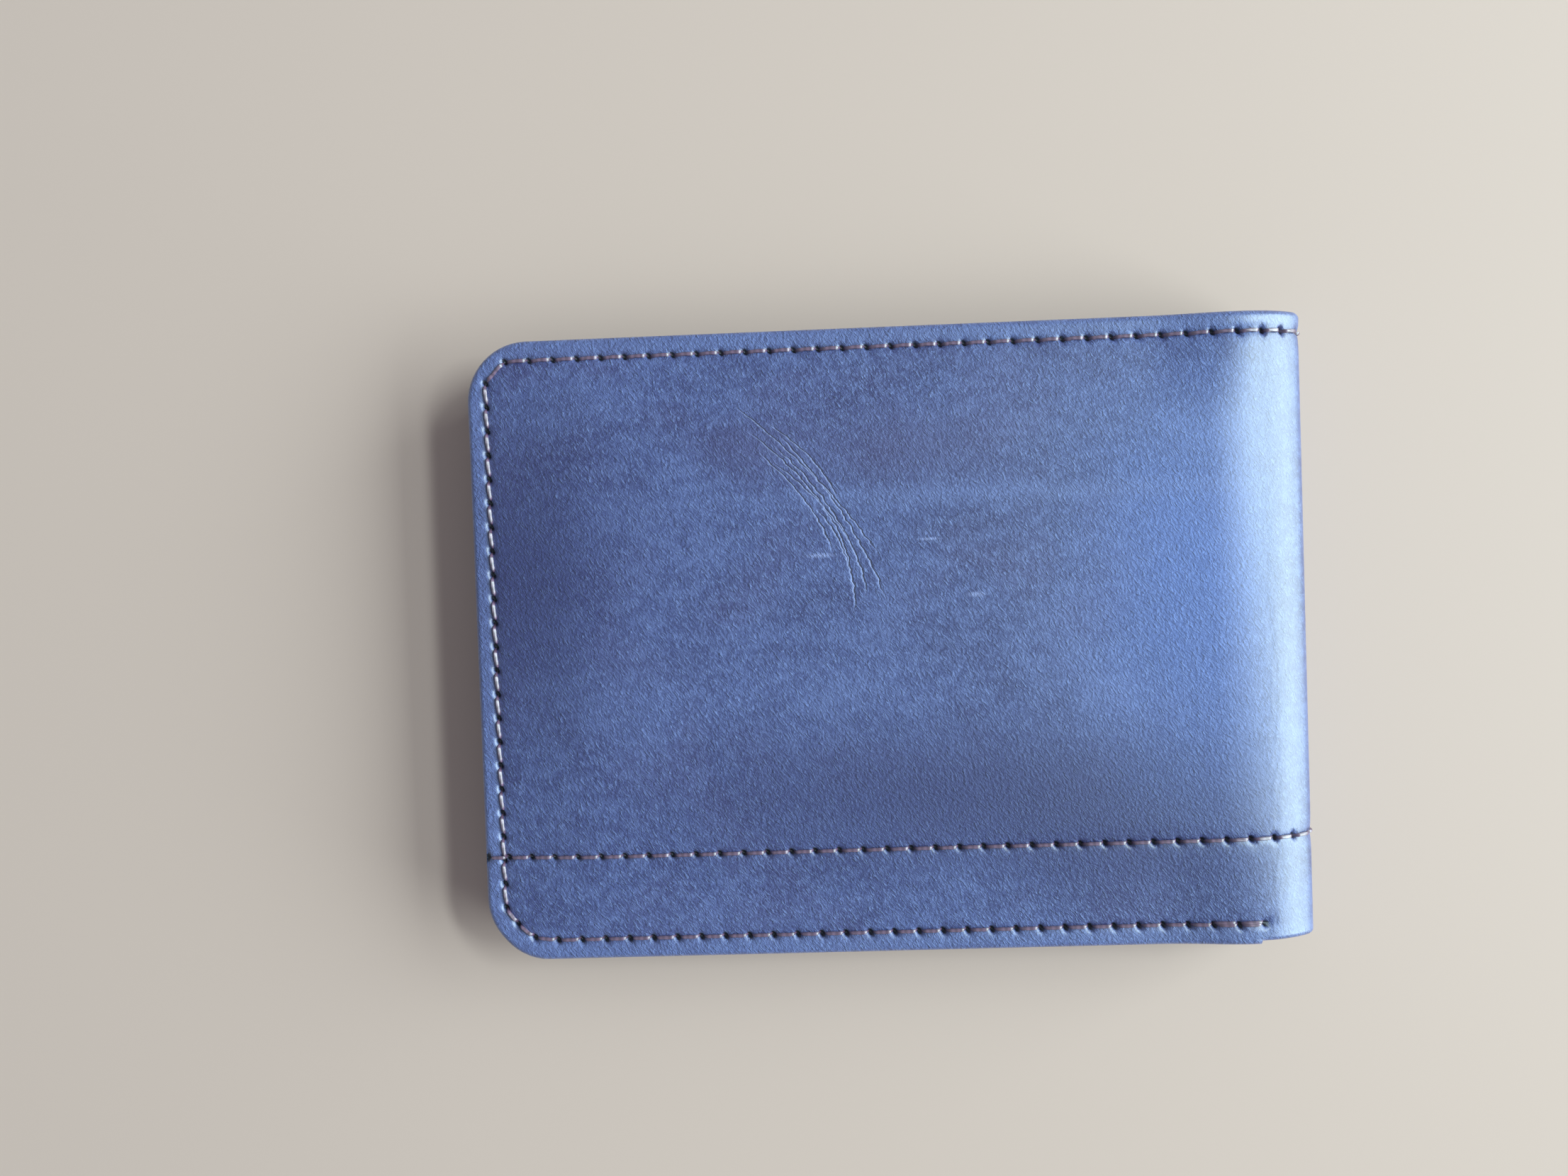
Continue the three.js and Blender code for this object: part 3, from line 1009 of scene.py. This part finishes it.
def inner_face_of(half_steps):
    """Depth of the innermost face under each y: the pockets step down towards the mouth."""
    def depth(s, y):
        result = np.full(np.shape(s), half_steps[-1][1])
        for top, value in half_steps[:-1][::-1]:
            result = np.where(y < top, value, result)
        return result
    return depth


def add_seams(material):
    pockets = ("front_pocket_panel", "lower_card_strip_2", "lower_card_strip_1")
    steps = [tuple(node_span(node)[1][1:]) for node in pockets]
    face = inner_face_of(steps)
    inside = PERIMETER[PERIMETER[:, 1] < steps[2][0] - 1]
    for sign, half, fold in ((-1, "lower", 1), (1, "upper", LEAVES + 1)):
        first = [(CUT_TURN * PITCH_RADIUS, SEAM_TOP)]
        outer = np.concatenate([first, PERIMETER])
        groups = [(signed(outer, sign), outer_face, False)]
        groups.append((signed(backtack(), sign), outer_face, False))
        groups.append((signed(inside, sign), face, True))
        piece = add_thread(f"perimeter_stitches_{half}", groups, material)
        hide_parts(f"perimeter_thread_{half}")
        blend_over(piece)
        first = [(CUT_TURN * PITCH_RADIUS, DIVIDER_SEAM)]
        across = np.concatenate([first, DIVIDER])
        groups = [(signed(across, sign), outer_face, False)]
        piece = add_thread(f"divider_stitches_{half}", groups, material)
        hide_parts(f"divider_thread_{half}")
        blend_over(piece)
    for fold in range(2, LEAVES + 1):
        at = [turn * PITCH_RADIUS for turn in leaf_turns(fold)]
        groups = [([(s, y) for s in at], outer_face, False) for y in (SEAM_TOP, DIVIDER_SEAM)]
        piece = add_thread(f"spine_stitches_{fold}", groups, material)
        blend_over(piece)


# ------------------------------------------------------------------ materials
class Nodes:
    """Short calls for building a node material."""

    def __init__(self, name):
        self.material = bpy.data.materials.new(name)
        self.material.use_nodes = True
        self.tree = self.material.node_tree
        self.shader = self.tree.nodes["Principled BSDF"]

    def put(self, socket, value):
        if isinstance(value, bpy.types.NodeSocket):
            self.tree.links.new(value, socket)
        elif isinstance(value, (tuple, list)) and len(value) == 3 and socket.type == "RGBA":
            socket.default_value = (*value, 1)
        else:
            socket.default_value = value

    def add(self, kind, inputs, **settings):
        """A new node with its settings, and then its inputs by name or number."""
        node = self.tree.nodes.new(f"ShaderNode{kind}")
        for key, value in settings.items():
            setattr(node, key, value)
        for key, value in inputs.items():
            self.put(node.inputs[key], value)
        return node

    def shade(self, name, value):
        self.put(self.shader.inputs[name], value)

    def attribute(self, name, output="Fac"):
        return self.add("Attribute", {}, attribute_name=name).outputs[output]

    def math(self, operation, *values):
        return self.add("Math", dict(enumerate(values)), operation=operation).outputs[0]

    def times(self, one, two):
        return self.math("MULTIPLY", one, two)

    def scaled(self, vector, location=(0, 0, 0), turn=0.0, scale=(1, 1, 1)):
        inputs = {"Vector": vector, "Location": location, "Scale": scale}
        inputs["Rotation"] = (0, 0, math.radians(turn))
        return self.add("Mapping", inputs).outputs[0]

    def noise(self, vector, scale, detail=3.0, roughness=0.5, distortion=0.0):
        inputs = {"Vector": vector, "Scale": scale, "Detail": detail}
        inputs.update({"Roughness": roughness, "Distortion": distortion})
        return self.add("TexNoise", inputs).outputs["Fac"]

    def ramp(self, value, low, high, to_low=0.0, to_high=1.0):
        inputs = dict(enumerate((value, low, high, to_low, to_high)))
        return self.add("MapRange", inputs, interpolation_type="SMOOTHSTEP").outputs[0]

    def mix(self, share, one, two):
        """A colour between one and two. Inputs 6 and 7 are the node's two colours."""
        return self.add("Mix", {"Factor": share, 6: one, 7: two}, data_type="RGBA").outputs[2]

    def parts(self, vector):
        return self.add("SeparateXYZ", {0: vector}).outputs

    def join(self, x, y, z=0.0):
        return self.add("CombineXYZ", dict(enumerate((x, y, z)))).outputs[0]

    def bump(self, height, strength, distance):
        inputs = {"Height": height, "Strength": strength, "Distance": distance * MM}
        return self.add("Bump", inputs).outputs[0]

    def spot(self, x, y, centre, reach, turn=0.0):
        """1 at the middle of an ellipse, falling to 0 outside it."""
        centred = self.scaled(self.join(x, y), (-centre[0], -centre[1], 0))
        shrunk = self.scaled(centred, turn=turn, scale=(1 / reach[0], 1 / reach[1], 1))
        node = self.add("VectorMath", {0: shrunk}, operation="LENGTH")
        return self.ramp(node.outputs["Value"], 1.0, 0.0)


THREAD_DARK = (0.06, 0.028, 0.055)
THREAD_LIGHT = (0.26, 0.15, 0.25)
GRAIN_TURN = -53.0
GRAIN_HEIGHT = 0.2
LEATHER_DARK = (0.032, 0.033, 0.142)
LEATHER_MID = (0.065, 0.081, 0.242)
LEATHER_LIGHT = (0.150, 0.192, 0.435)
# Colour of the painted light on the right of the face.
PAINTED_LIGHT_BLUE = (0.085, 0.175, 0.580)
LEATHER_BROWN = (0.062, 0.05, 0.165)
HOLE_SHADE_COLOUR = (0.006, 0.003, 0.008)
# Soft patches of the upper half's face: middle (x, y), reach and turn.
BROWN_PATCHES = (((2.0, 27.0), (22.0, 9.0), 10.0), ((-20.0, 28.0), (12.0, 7.0), 0.0))
# Painted shade: darker patches on the left of the face and along its bottom, the sides away from
# the light.
PAINTED_SHADE_PATCHES = (((-54.0, 10.0), (26.0, 34.0), 0.0), ((8.0, -22.0), (66.0, 17.0), 0.0))
PAINTED_SHADE_PATCHES += (((34.0, -28.0), (30.0, 16.0), 0.0),)
LIGHT_PATCHES = (((-46.0, 33.0), (12.0, 7.0), 0.0), ((-40.0, -8.0), (17.0, 12.0), 0.0))
LIGHT_PATCHES += (((-1.0, 2.0), (3.0, 12.0), 0.0), ((30.0, -8.0), (12.0, 9.0), 0.0))
# Painted light: a lighter, bluer patch on the right of the face, next to the spine, where the
# light falls.
PAINTED_LIGHT_PATCHES = (((44.0, 10.0), (26.0, 48.0), 0.0),)
SCUFFS = (((5.4, 14.1), (2.4, 0.3), -18.0), ((11.6, 6.2), (1.9, 0.55), 8.0))
SCUFFS += (((-9.8, 12.3), (3.0, 0.5), 4.0),)
SCUFF_AMOUNT = 0.6
# A pale band across the face: middle, reach and strength.
BAND_MIDDLE, BAND_REACH, BAND_AMOUNT = (10.0, 20.2), (62.0, 2.4), 0.36
# The creases are dented by the bump and lightened in colour as a painted highlight; the scuffs
# take the same pale colour as real wear.
CREASE_DEPTH, CREASE_HIGHLIGHT_AMOUNT, CREASE_HALF = 1.3, 0.8, 0.24
CREASE_HIGHLIGHT_AND_SCUFF_COLOUR = (0.32, 0.36, 0.66)
# Creases, valleys that run down the face: x and slope at the top, bend, top y and bottom y.
CREASES = (
    (-19.8, 1.15, -0.013, 32.5, 11.4),
    (-18.0, 1.18, -0.028, 28.8, 6.0),
    (-14.6, 1.2, -0.033, 24.4, 5.8),
    (-13.9, 0.85, -0.012, 28.0, 5.2),
    (-15.2, 1.3, -0.05, 29.9, 20.0),
    (-14.4, 0.95, -0.02, 26.5, 9.0),
    (-9.4, 0.7, -0.03, 17.9, 4.0),
    (-16.8, 1.05, -0.03, 25.8, 12.5),
)


def shell_leather():
    """The outer leather. The patches, band, creases and scuffs are on the upper half only."""
    n = Nodes("shell_leather")
    flat = n.attribute("flat", "Vector")
    s, y = n.parts(flat)[:2]
    x = n.math("SUBTRACT", SPINE_X + QUARTER, s)
    base = leather_base(n, flat)
    on_upper = n.ramp(s, QUARTER - 4, QUARTER + 4)
    # The dark patches paint shade and the blue patch paints light into the colour here.
    for patches, colour, amount in (
        (BROWN_PATCHES, LEATHER_BROWN, 0.5),
        (PAINTED_SHADE_PATCHES, LEATHER_DARK, 0.85),
        (LIGHT_PATCHES, LEATHER_LIGHT, 0.2),
        (PAINTED_LIGHT_PATCHES, PAINTED_LIGHT_BLUE, 0.5),
    ):
        for centre, reach, turn in patches:
            spot = n.times(n.spot(x, y, centre, reach, turn), amount)
            base["colour"] = n.mix(n.times(spot, on_upper), base["colour"], colour)
    band = n.times(n.spot(x, y, BAND_MIDDLE, BAND_REACH), BAND_AMOUNT)
    band = n.times(band, on_upper)
    base["colour"] = n.mix(band, base["colour"], LEATHER_LIGHT)
    crease = n.times(creases(n, x, y), on_upper)
    # Painted highlight along the creases.
    base["colour"] = n.mix(n.times(crease, CREASE_HIGHLIGHT_AMOUNT), base["colour"], CREASE_HIGHLIGHT_AND_SCUFF_COLOUR)
    base["height"] = n.math("SUBTRACT", base["height"], n.times(crease, CREASE_DEPTH))
    for centre, reach, turn in SCUFFS:
        scuff = n.times(n.spot(x, y, centre, reach, turn), on_upper)
        base["colour"] = n.mix(n.times(scuff, SCUFF_AMOUNT), base["colour"], CREASE_HIGHLIGHT_AND_SCUFF_COLOUR)
    finish_leather(n, base)
    return n.material


def leather_base(n, flat):
    """Cloudy pulled-up colour, mottling and the fine slanting grain, with painted highlights on
    its dashes and strokes.
    """
    cloud = n.noise(flat, 0.045, 4.0, 0.55, 0.4)
    patch = n.noise(n.scaled(flat, (31, 7, 5), scale=(0.7, 1.3, 1.0)), 0.15, 4.0, 0.6, 0.2)
    mottle = n.noise(n.scaled(flat, (3, 17, 9)), 0.7, 3.0, 0.6)
    grain_space = n.scaled(flat, turn=GRAIN_TURN)
    dash = n.noise(n.scaled(grain_space, scale=(1.5, 2.9, 1.0)), 1.0, 2.0, 0.6, 0.5)
    pebble = n.noise(n.scaled(flat, (50, 9, 0)), 2.0, 2.0, 0.6, 0.3)
    stroke = n.noise(n.scaled(grain_space, (7, 70, 0), scale=(0.85, 3.2, 1.0)), 1.0, 1.0, 0.5, 0.3)
    stroke = n.ramp(stroke, 0.58, 0.7)
    tone = n.math("ADD", n.times(cloud, 0.5), n.times(patch, 0.5))
    colour = n.mix(n.ramp(tone, 0.32, 0.58), LEATHER_DARK, LEATHER_MID)
    brown = n.noise(n.scaled(flat, (90, 40, 3)), 0.07, 3.0, 0.5, 0.5)
    for value, low, high, amount, tint in (
        (tone, 0.5, 0.78, 0.5, LEATHER_LIGHT),
        (brown, 0.48, 0.68, 0.35, LEATHER_BROWN),
        (mottle, 0.42, 0.7, 0.42, LEATHER_LIGHT),
        (mottle, 0.5, 0.3, 0.3, LEATHER_DARK),
        # Painted highlight on the light side of the dashes.
        (dash, 0.55, 0.72, 0.7, LEATHER_LIGHT),
        (pebble, 0.42, 0.3, 0.4, LEATHER_DARK),
        (pebble, 0.55, 0.75, 0.35, LEATHER_LIGHT),
    ):
        colour = n.mix(n.ramp(value, low, high, 0.0, amount), colour, tint)
    # Painted highlight: the light strokes stand for glints on the grain.
    colour = n.mix(n.times(stroke, 0.7), colour, LEATHER_LIGHT)
    height = n.math("ADD", n.times(stroke, 0.45), n.math("ADD", dash, pebble))
    return {"colour": colour, "height": height, "tone": tone, "mottle": mottle}


def creases(n, x, y):
    """How deep the face is in the fan of creases, from 0 to 1."""
    wobble = n.noise(n.join(n.times(x, 0.35), y), 0.9, 2.0)
    wobble = n.times(n.math("SUBTRACT", wobble, 0.5), 0.9)
    deepest = 0.0
    for start, slope, bend, top, bottom in CREASES:
        below = n.math("SUBTRACT", top, y)
        bow = n.math("MULTIPLY_ADD", below, bend, slope)
        line = n.math("MULTIPLY_ADD", below, bow, start)
        away = n.math("ABSOLUTE", n.math("ADD", n.math("SUBTRACT", x, line), wobble))
        depth = n.ramp(away, CREASE_HALF, 0.0)
        length = top - bottom
        fade = n.times(n.ramp(below, -1.5, 1.0), n.ramp(below, length, length * 0.8))
        deepest = n.math("MAXIMUM", deepest, n.times(depth, fade))
    return deepest


def finish_leather(n, base):
    """Pale margins, worn edges, painted shade in the needle holes, the bump and the waxy coat."""
    edge = n.attribute("edge")
    hole = n.attribute("hole")
    margin = n.ramp(edge, 2.9, 1.6, 0.0, 0.42)
    colour = n.mix(margin, base["colour"], LEATHER_LIGHT)
    worn = n.times(n.ramp(edge, 0.9, 0.0), n.ramp(base["mottle"], 0.35, 0.65))
    colour = n.mix(n.times(worn, 0.5), colour, LEATHER_LIGHT)
    # Painted shade: the needle holes are darkened to near black.
    colour = n.mix(n.ramp(hole, 0.2, 0.52, 0.0, 0.97), colour, HOLE_SHADE_COLOUR)
    n.shade("Base Color", colour)
    rough = n.ramp(base["tone"], 0.3, 0.7, 0.48, 0.58)
    pressed = n.ramp(hole, 0.03, 0.2, 0.0, 0.2)
    n.shade("Roughness", n.math("SUBTRACT", rough, pressed))
    n.shade("Normal", n.bump(base["height"], 1.0, GRAIN_HEIGHT))
    n.shader.inputs["Specular IOR Level"].default_value = 0.5
    n.shader.inputs["Specular Tint"].default_value = (0.5, 0.75, 1.0, 1.0)
    n.shader.inputs["Coat Weight"].default_value = 0.9
    n.shader.inputs["Coat Roughness"].default_value = 0.38
    n.shader.inputs["Coat IOR"].default_value = 1.8


def inner_leather():
    n = Nodes("inner_leather")
    base = leather_base(n, n.scaled(n.attribute("flat", "Vector"), (200, 90, 0)))
    finish_leather(n, base)
    return n.material


def woven(name, dark, light, threads_per_mm):
    """A plain weave: warp and weft rise and fall in turn."""
    n = Nodes(name)
    flat = n.attribute("flat", "Vector")
    s, y = n.parts(flat)[:2]
    turns = threads_per_mm * math.pi
    warp = n.math("SINE", n.times(s, turns))
    weft = n.math("SINE", n.times(y, turns))
    weave = n.times(warp, weft)
    slub = n.noise(n.scaled(flat, scale=(0.4, 3.0, 1.0)), 1.2, 2.0)
    tone = n.math("ADD", n.ramp(weave, -1.0, 1.0, 0.1, 0.75), n.times(slub, 0.35))
    n.shade("Base Color", n.mix(tone, dark, light))
    n.shade("Roughness", n.ramp(slub, 0.3, 0.7, 0.75, 0.95))
    n.shade("Normal", n.bump(weave, 0.5, 0.08))
    n.shader.inputs["Sheen Weight"].default_value = 0.25
    return n.material


def sewing_thread():
    n = Nodes("sewing_thread")
    travel = n.attribute("travel")
    # Painted light and shade: the ply stripes lighten the twisted plies and darken the grooves
    # between them.
    ply = n.math("SINE", n.times(travel, 2 * math.pi / PLY_TURN * 3))
    fuzz = n.noise(n.join(n.times(travel, 1.7), 0.0), 2.3, 3.0)
    tone = n.math("ADD", n.ramp(ply, -1.0, 1.0, 0.0, 0.4), n.times(fuzz, 0.6))
    n.shade("Base Color", n.mix(tone, THREAD_DARK, THREAD_LIGHT))
    n.shade("Roughness", n.ramp(fuzz, 0.3, 0.7, 0.42, 0.5))
    n.shade("Normal", n.bump(fuzz, 0.25, 0.05))
    n.shade("Tangent", n.attribute("around", "Vector"))
    n.shader.inputs["Anisotropic"].default_value = 0.9
    n.shader.inputs["IOR"].default_value = 1.9
    n.shader.inputs["Specular IOR Level"].default_value = 1.0
    return n.material


FILM_DARK, FILM_LIGHT = (0.42, 0.46, 0.5), (0.6, 0.64, 0.68)


def window_film():
    n = Nodes("window_film")
    flat = n.attribute("flat", "Vector")
    haze = n.noise(flat, 0.3, 4.0, 0.6)
    n.shade("Base Color", n.mix(haze, FILM_DARK, FILM_LIGHT))
    n.shade("Roughness", n.ramp(haze, 0.3, 0.7, 0.06, 0.16))
    n.shade("Alpha", n.ramp(haze, 0.2, 0.8, 0.1, 0.18))
    n.shade("Normal", n.bump(haze, 0.15, 0.3))
    return n.material


# ------------------------------------------------------------------ assembly
add_camera()
add_lights()
add_floor()

shell_finish, inner_finish = shell_leather(), inner_leather()
LINING_COLOURS = ((0.006, 0.007, 0.016), (0.03, 0.034, 0.062))
DIVIDER_COLOURS = ((0.008, 0.009, 0.018), (0.036, 0.04, 0.07))
lining_finish = woven("lining_fabric", *LINING_COLOURS, 2.6)
divider_finish = woven("divider_fabric", *DIVIDER_COLOURS, 2.0)
thread_finish, film_finish = sewing_thread(), window_film()

shell = Layer("shell", "shell_leather", 0.8, SHELL_RADII)
lining = Layer("lining", "lining_fabric", 0.12, (CORNER_RADIUS - 1, CORNER_RADIUS - 1, 0))
divider = Layer("divider", "divider_fabric", 0.15, (SMALL_RADIUS, CORNER_RADIUS - 1, 0))
backing = Layer("backing", "inner_leather", 0.3, (CORNER_RADIUS, SMALL_RADIUS, 0))

add_crossing(shell, shell_finish)
lining_pieces = add_crossing(lining, lining_finish)
divider_pieces = add_crossing(divider, divider_finish)
add_crossing(backing, inner_finish)


POCKET_THREAD_MARGIN = 2.0


def pocket_path(panel):
    """Needle holes along the top of a strip or panel."""
    near, far, low, high = panel.box
    y = high - POCKET_THREAD_MARGIN
    return stations((near + 2.0, y), (far - 2.8, y))


def add_pockets(upper):
    """The two card strips of one half, with their threads and their cloth linings."""
    half = "upper" if upper else "lower"
    linings = {}
    for number in (1, 2):
        node = f"{half}_card_strip_{number}"
        strip = Panel(node, upper, "inner_leather", 0.4, (SMALL_RADIUS,) * 3)
        path = pocket_path(strip)
        add_panel(strip, inner_finish, path)
        add_pocket_thread(f"{half}_strip_thread_{number}", strip, path)
        node = f"{half}_card_lining_{number}"
        radii = (CORNER_RADIUS, SMALL_RADIUS, SMALL_RADIUS)
        cloth = Panel(node, upper, "lining_fabric", 0.1, radii)
        linings[number] = add_panel(cloth, lining_finish, spacing=1.6)
    return linings


def add_pocket_thread(node, panel, path):
    """Stitches on the inner face of a strip or panel."""
    face = panel.depth + panel.thick

    def face_depth(s, y):
        return np.full(np.shape(s), face)

    groups = [(signed(path, panel.sign), face_depth, True)]
    piece = add_thread(f"{node}_stitches", groups, thread_finish)
    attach(piece, panel.body)
    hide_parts(node)


lower_linings, upper_linings = add_pockets(False), add_pockets(True)

FRONT_RADII = (CORNER_RADIUS - 0.1, SMALL_RADIUS, SMALL_RADIUS)
front = Panel("front_pocket_panel", False, "inner_leather", 0.42, FRONT_RADII)
front_path = pocket_path(front)
add_panel(front, inner_finish, front_path)
add_pocket_thread("front_pocket_thread", front, front_path)

id_frame = Panel("id_window_frame", True, "inner_leather", 0.42, FRONT_RADII)
FILM_MARGIN = 4.0
film_low, film_high = node_span("id_window_film")
window = (
    QUARTER + SPINE_X - film_high[0] + FILM_MARGIN,
    QUARTER + SPINE_X - film_low[0] - FILM_MARGIN,
    film_low[1] + FILM_MARGIN,
    film_high[1] - FILM_MARGIN,
)
frame_path = pocket_path(id_frame)
add_panel(id_frame, inner_finish, frame_path, window)
add_pocket_thread("id_window_thread", id_frame, frame_path)
film = Panel("id_window_film", True, "window_film", 0.06, (SMALL_RADIUS,) * 3)
add_panel(film, film_finish)

add_seams(thread_finish)
